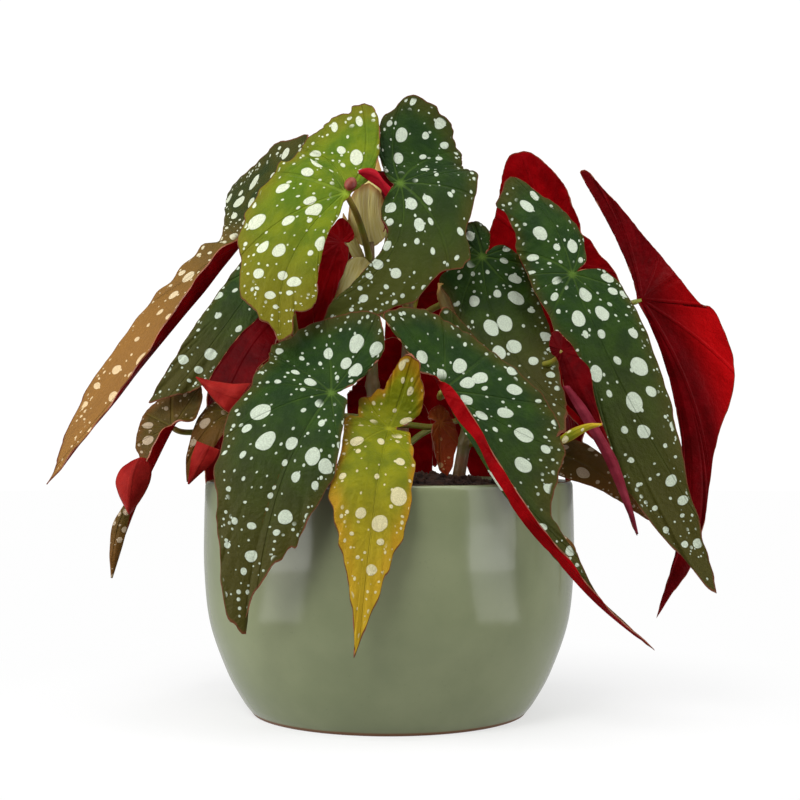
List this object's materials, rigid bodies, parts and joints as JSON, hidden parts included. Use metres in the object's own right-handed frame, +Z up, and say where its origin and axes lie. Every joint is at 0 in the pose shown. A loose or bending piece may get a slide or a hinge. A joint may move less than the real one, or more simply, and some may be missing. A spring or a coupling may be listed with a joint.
{
  "type": "potted polka dot begonia",
  "caption": "Compact spotted begonia with drooping wing-shaped leaves, red undersides and jointed canes, in a round glazed pot filled with soil.",
  "frame": {"origin": "centre of the pot's flat underside, on the surface it stands on", "axes": "+Z up along the pot's axis, -Y towards the front of the plant, +X to the right as seen from the front"},
  "size_m": [0.316, 0.2009, 0.28],
  "materials": {
    "glaze": "gloss",
    "soil": "matte",
    "cane": "satin",
    "leaf": "satin",
    "young_leaf": "satin",
    "stipule": "satin"
  },
  "bodies": {
    "root": {"pot": "glaze", "soil": "soil", "cane_middle": "cane", "cane_right": "cane", "cane_left": "cane", "cane_rear": "cane", "leaf_lime": "leaf", "leaf_upper": "leaf", "leaf_front_left": "leaf", "leaf_front_right": "leaf", "leaf_under_right": "leaf", "leaf_middle_right": "leaf", "leaf_right": "leaf", "leaf_rear_right": "leaf", "leaf_far_right": "leaf", "leaf_far_left": "leaf", "leaf_left": "leaf", "leaf_low_left": "leaf", "leaf_folded_left": "leaf", "leaf_small_left": "leaf", "leaf_front": "leaf", "leaf_inner_front": "leaf", "leaf_low_right": "leaf", "leaf_inner_left": "leaf", "leaf_rear_high": "leaf", "leaf_rear_high_left": "leaf", "leaf_rear_high_right": "leaf", "leaf_rear_low": "leaf", "leaf_rear_low_left": "leaf", "leaf_rear_low_right": "leaf", "leaf_side_left": "leaf", "leaf_side_right": "leaf", "leaf_crown": "leaf", "leaf_young": "young_leaf", "stipule_tall": "stipule", "stipule_rear": "stipule", "stipule_side": "stipule", "stipule_hanging": "stipule", "stipule_right": "stipule"}
  },
  "joints": []
}
